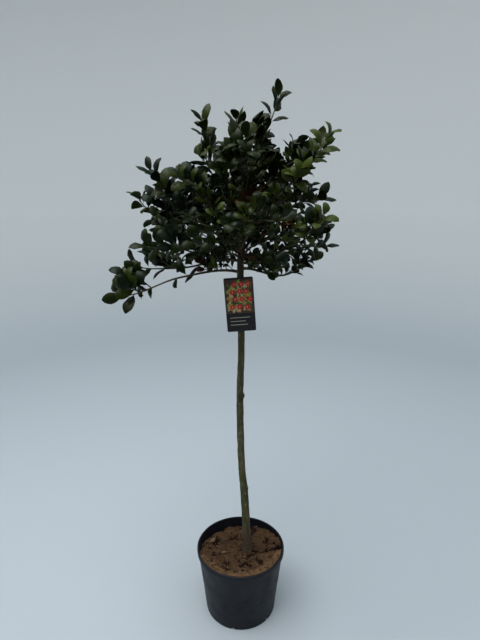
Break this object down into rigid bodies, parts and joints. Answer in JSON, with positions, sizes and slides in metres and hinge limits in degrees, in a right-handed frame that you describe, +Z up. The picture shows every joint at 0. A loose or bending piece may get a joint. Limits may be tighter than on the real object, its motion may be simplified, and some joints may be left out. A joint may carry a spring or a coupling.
{
  "type": "standard holly tree in nursery pot",
  "caption": "Standard holly with a clear stem and an open round head of glossy evergreen leaves, in a round nursery pot filled with compost, with a hanging picture label.",
  "frame": {"origin": "centre of the pot's flat underside", "axes": "+Z up along the trunk, +X to the plant's right as its front is seen, -Y towards the front, where the label hangs"},
  "size_m": [0.706, 0.5133, 1.7186],
  "materials": {
    "pot": "matte",
    "soil": "matte",
    "bark": "matte",
    "leaf": "satin",
    "label": "gloss",
    "strap": "matte"
  },
  "bodies": {
    "root": {"bough_back": "bark", "bough_back_left": "bark", "bough_back_low_left": "bark", "bough_back_low_right": "bark", "bough_back_right": "bark", "bough_back_top": "bark", "bough_front": "bark", "bough_front_left": "bark", "bough_front_low": "bark", "bough_front_right": "bark", "bough_left": "bark", "bough_left_crest": "bark", "bough_left_fore": "bark", "bough_left_high": "bark", "bough_left_low": "bark", "bough_left_shelf": "bark", "bough_right": "bark", "bough_right_back_high": "bark", "bough_right_fore": "bark", "bough_right_high": "bark", "bough_right_low": "bark", "bough_right_mid": "bark", "bough_top_fore": "bark", "bough_top_left": "bark", "bough_top_right": "bark", "label_card": "label", "label_strap": "strap", "leaves_back": "leaf", "leaves_back_left": "leaf", "leaves_back_low_left": "leaf", "leaves_back_low_right": "leaf", "leaves_back_right": "leaf", "leaves_back_top": "leaf", "leaves_front": "leaf", "leaves_front_left": "leaf", "leaves_front_low": "leaf", "leaves_front_right": "leaf", "leaves_leader": "leaf", "leaves_left": "leaf", "leaves_left_crest": "leaf", "leaves_left_fore": "leaf", "leaves_left_high": "leaf", "leaves_left_low": "leaf", "leaves_left_shelf": "leaf", "leaves_right": "leaf", "leaves_right_back_high": "leaf", "leaves_right_fore": "leaf", "leaves_right_high": "leaf", "leaves_right_low": "leaf", "leaves_right_mid": "leaf", "leaves_top_fore": "leaf", "leaves_top_left": "leaf", "leaves_top_right": "leaf", "pot": "pot", "soil": "soil", "trunk": "bark"}
  },
  "joints": []
}
